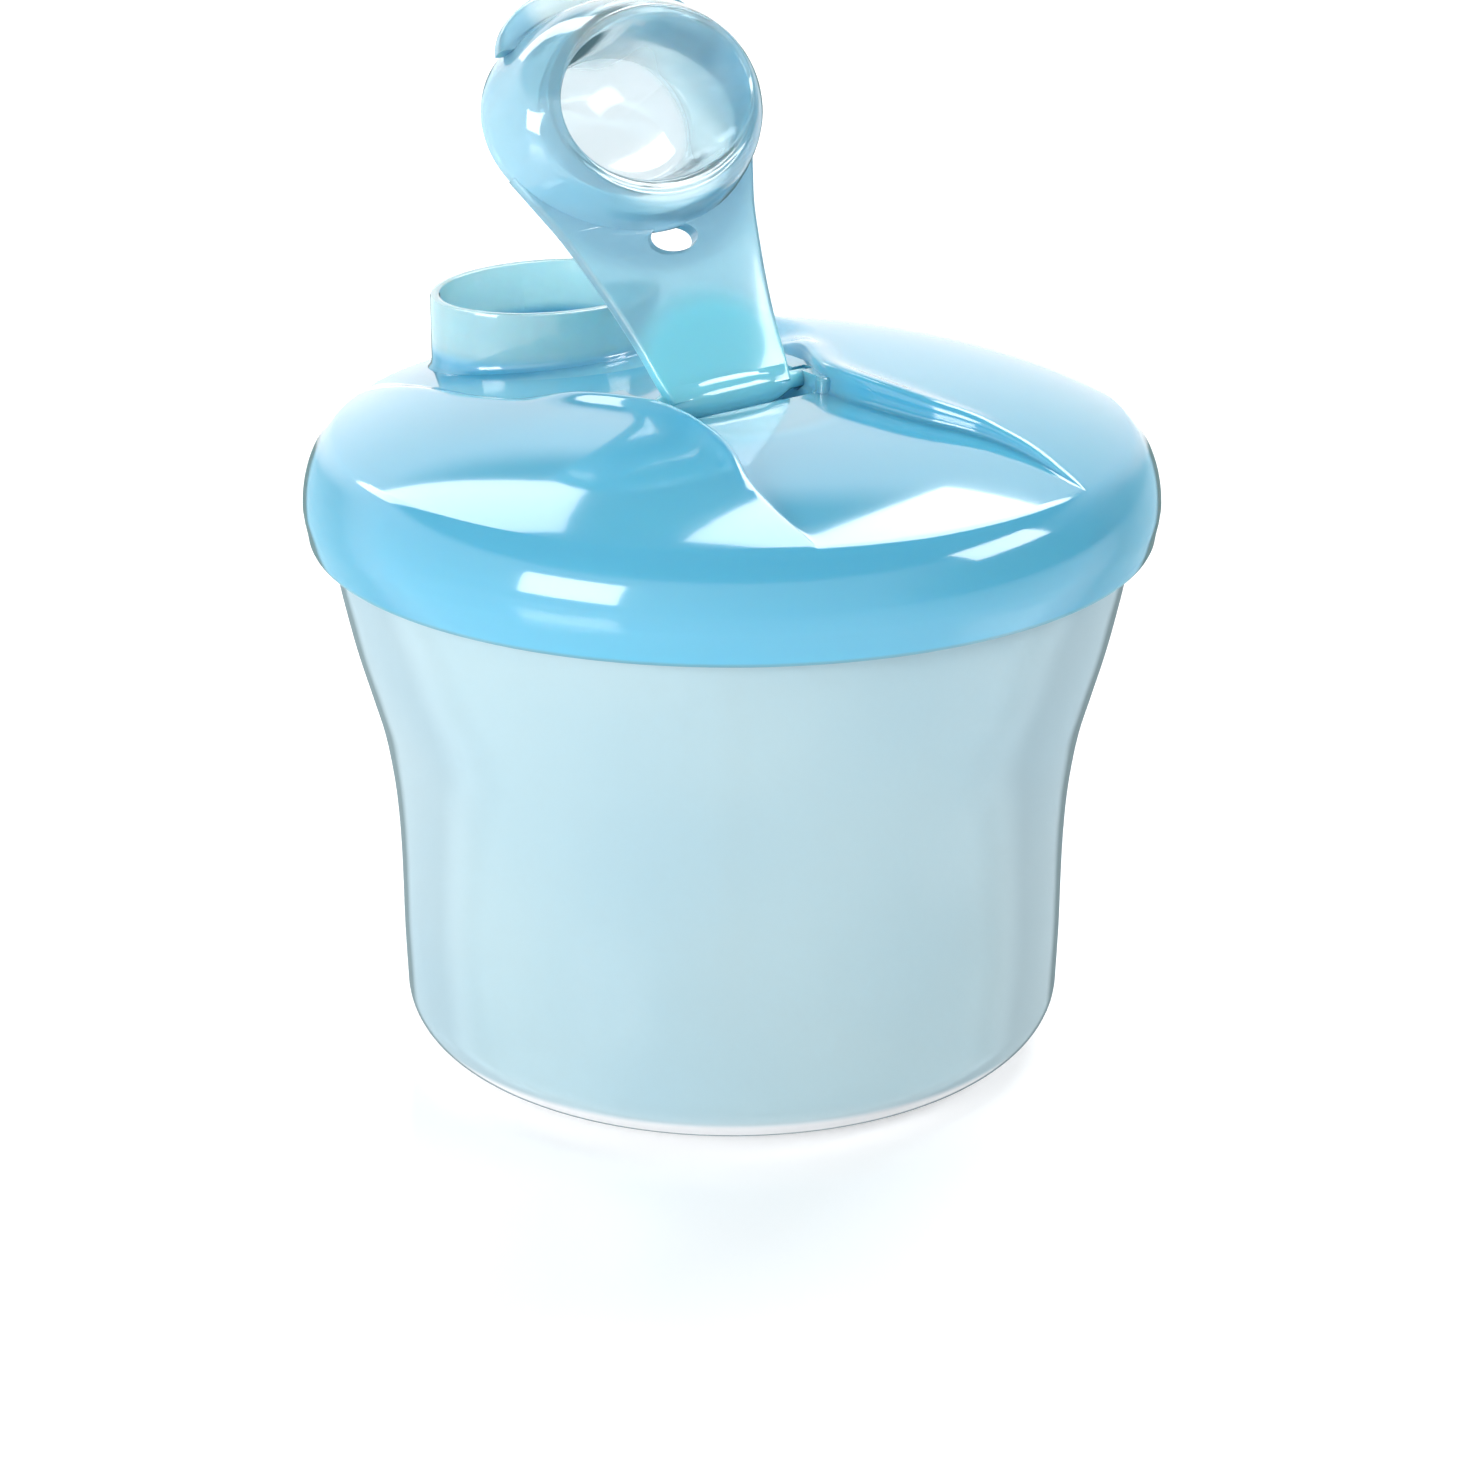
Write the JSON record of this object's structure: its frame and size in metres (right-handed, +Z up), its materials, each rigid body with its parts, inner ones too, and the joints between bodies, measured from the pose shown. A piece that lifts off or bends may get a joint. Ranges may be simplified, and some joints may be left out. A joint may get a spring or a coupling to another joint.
{
  "type": "formula dispenser",
  "caption": "Flared cup with a divider that parts it in thirds, under a clip-on lid that turns, with an oval spout and a flip cap on a hinged arm.",
  "frame": {"origin": "centre of the cup's base, on the surface it stands on", "axes": "+Z up along the cup's axis, -Y towards the viewer of the picture, +X to the viewer's right"},
  "size_m": [0.104, 0.104, 0.1283],
  "materials": {
    "cup_plastic": "frosted translucent, pale blue",
    "divider_plastic": "frosted translucent, pale blue",
    "lid_plastic": "polished translucent sky blue",
    "cap_plastic": "polished translucent sky blue"
  },
  "bodies": {
    "base": {"cup": "cup_plastic", "divider": "divider_plastic"},
    "lid": {"lid": "lid_plastic"},
    "cap": {"cap": "cap_plastic"}
  },
  "joints": [
    {"name": "lid_turn", "type": "hinge", "parent": "base", "child": "lid", "pos_m": [0, 0, 0.07], "axis": [0, 0, 1], "continuous": true},
    {"name": "cap_hinge", "type": "hinge", "parent": "lid", "child": "cap", "pos_m": [-0.00104, -0.0031, 0.083], "axis": [0.7918, 0.6108, 0], "range_deg": [-52.2, 57.8]}
  ]
}
